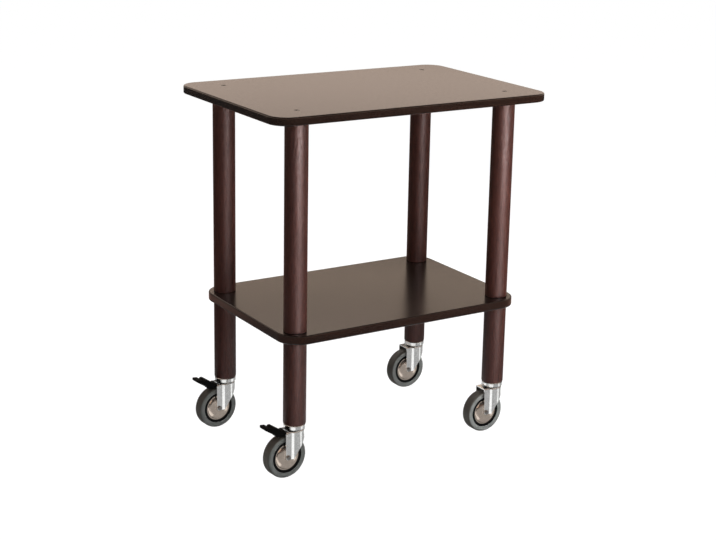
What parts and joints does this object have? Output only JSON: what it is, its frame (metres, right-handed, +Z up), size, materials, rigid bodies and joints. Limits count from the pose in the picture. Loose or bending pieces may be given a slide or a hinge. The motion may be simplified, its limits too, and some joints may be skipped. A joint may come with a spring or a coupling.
{
  "type": "serving trolley",
  "caption": "Serving trolley with a rounded top, a lower shelf, round wooden legs and swivel casters with grey tyres, some with a foot brake.",
  "frame": {"origin": "on the floor below the middle of the top", "axes": "+Z up, +X along the trolley away from the braked casters, +Y across it"},
  "size_m": [0.6909, 0.465, 0.8],
  "materials": {
    "panel_wood": "dark brown wood panel with a satin lacquer",
    "leg_wood": "reddish dark brown stained wood with a satin lacquer",
    "screw_steel": "dark coated screw heads",
    "plain_steel": "plain turned steel",
    "bright_steel": "bright plated pressed steel",
    "disc_steel": "bright pressed steel with a warm tone",
    "grey_rubber": "matte grey rubber",
    "black_plastic": "black moulded plastic",
    "pedal_plastic": "black moulded plastic with a light texture",
    "shoe_steel": "black coated steel",
    "bearing_plastic": "natural bearing plastic"
  },
  "bodies": {
    "frame": {"top_panel": "panel_wood", "shelf_panel": "panel_wood", "top_screws": "screw_steel", "leg_studs": "plain_steel", "stem_inserts": "plain_steel", "upper_leg_front_left": "leg_wood", "lower_leg_front_left": "leg_wood", "caster_head_front_left": "bright_steel", "caster_stem_front_left": "plain_steel", "upper_leg_front_right": "leg_wood", "lower_leg_front_right": "leg_wood", "caster_head_front_right": "bright_steel", "caster_stem_front_right": "plain_steel", "upper_leg_back_left": "leg_wood", "lower_leg_back_left": "leg_wood", "caster_head_back_left": "bright_steel", "caster_stem_back_left": "plain_steel", "upper_leg_back_right": "leg_wood", "lower_leg_back_right": "leg_wood", "caster_head_back_right": "bright_steel", "caster_stem_back_right": "plain_steel"},
    "swivel_front_left": {"fork_front_left": "bright_steel", "swivel_bearing_front_left": "bearing_plastic", "axle_front_left": "bright_steel", "axle_nut_front_left": "bright_steel", "brake_pin_front_left": "bright_steel"},
    "wheel_front_left": {"tyre_front_left": "grey_rubber", "wheel_core_front_left": "black_plastic", "wheel_discs_front_left": "disc_steel", "wheel_bush_front_left": "plain_steel"},
    "brake_front_left": {"brake_pedal_front_left": "pedal_plastic", "brake_shoe_front_left": "shoe_steel"},
    "swivel_front_right": {"fork_front_right": "bright_steel", "swivel_bearing_front_right": "bearing_plastic", "axle_front_right": "bright_steel", "axle_nut_front_right": "bright_steel"},
    "wheel_front_right": {"tyre_front_right": "grey_rubber", "wheel_core_front_right": "black_plastic", "wheel_discs_front_right": "disc_steel", "wheel_bush_front_right": "plain_steel"},
    "swivel_back_left": {"fork_back_left": "bright_steel", "swivel_bearing_back_left": "bearing_plastic", "axle_back_left": "bright_steel", "axle_nut_back_left": "bright_steel", "brake_pin_back_left": "bright_steel"},
    "wheel_back_left": {"tyre_back_left": "grey_rubber", "wheel_core_back_left": "black_plastic", "wheel_discs_back_left": "disc_steel", "wheel_bush_back_left": "plain_steel"},
    "brake_back_left": {"brake_pedal_back_left": "pedal_plastic", "brake_shoe_back_left": "shoe_steel"},
    "swivel_back_right": {"fork_back_right": "bright_steel", "swivel_bearing_back_right": "bearing_plastic", "axle_back_right": "bright_steel", "axle_nut_back_right": "bright_steel"},
    "wheel_back_right": {"tyre_back_right": "grey_rubber", "wheel_core_back_right": "black_plastic", "wheel_discs_back_right": "disc_steel", "wheel_bush_back_right": "plain_steel"}
  },
  "joints": [
    {"name": "swivel_front_left", "type": "hinge", "parent": "frame", "child": "swivel_front_left", "pos_m": [-0.264, -0.1645, 0.11], "axis": [0, 0, 1], "continuous": true},
    {"name": "roll_front_left", "type": "hinge", "parent": "swivel_front_left", "child": "wheel_front_left", "pos_m": [-0.28994, -0.16631, 0.048], "axis": [0.0698, -0.9976, 0], "continuous": true},
    {"name": "brake_front_left", "type": "hinge", "parent": "swivel_front_left", "child": "brake_front_left", "pos_m": [-0.28994, -0.16631, 0.1008], "axis": [0.0698, -0.9976, 0], "range_deg": [0, 16]},
    {"name": "swivel_front_right", "type": "hinge", "parent": "frame", "child": "swivel_front_right", "pos_m": [0.264, -0.1645, 0.11], "axis": [0, 0, 1], "continuous": true},
    {"name": "roll_front_right", "type": "hinge", "parent": "swivel_front_right", "child": "wheel_front_right", "pos_m": [0.238, -0.16495, 0.048], "axis": [0.0175, -0.9998, 0], "continuous": true},
    {"name": "swivel_back_left", "type": "hinge", "parent": "frame", "child": "swivel_back_left", "pos_m": [-0.264, 0.1645, 0.11], "axis": [0, 0, 1], "continuous": true},
    {"name": "roll_back_left", "type": "hinge", "parent": "swivel_back_left", "child": "wheel_back_left", "pos_m": [-0.28994, 0.16269, 0.048], "axis": [0.0698, -0.9976, 0], "continuous": true},
    {"name": "brake_back_left", "type": "hinge", "parent": "swivel_back_left", "child": "brake_back_left", "pos_m": [-0.28994, 0.16269, 0.1008], "axis": [0.0698, -0.9976, 0], "range_deg": [0, 16]},
    {"name": "swivel_back_right", "type": "hinge", "parent": "frame", "child": "swivel_back_right", "pos_m": [0.264, 0.1645, 0.11], "axis": [0, 0, 1], "continuous": true},
    {"name": "roll_back_right", "type": "hinge", "parent": "swivel_back_right", "child": "wheel_back_right", "pos_m": [0.238, 0.16405, 0.048], "axis": [0.0175, -0.9998, 0], "continuous": true}
  ]
}
